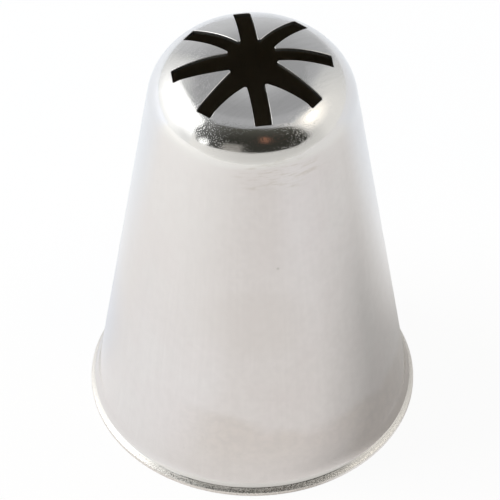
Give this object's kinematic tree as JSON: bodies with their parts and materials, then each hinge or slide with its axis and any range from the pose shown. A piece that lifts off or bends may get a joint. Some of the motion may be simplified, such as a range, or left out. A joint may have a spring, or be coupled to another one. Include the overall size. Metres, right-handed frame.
{
  "type": "piping nozzle",
  "caption": "Tapered steel piping nozzle: open mouth with a narrow turned-out lip, and a domed end cut into petals by radial slits that shape the icing.",
  "frame": {"origin": "centre of the mouth, level with the lip's underside", "axes": "+Z along the nozzle's axis from the mouth to the slotted dome; the front slit points along -Y"},
  "size_m": [0.036, 0.036, 0.0498],
  "materials": {
    "steel": "bright polished dome, satin wall with fine polishing lines"
  },
  "bodies": {
    "root": {"slotted_dome": "steel", "tapered_wall": "steel", "rim_lip": "steel"}
  },
  "joints": []
}
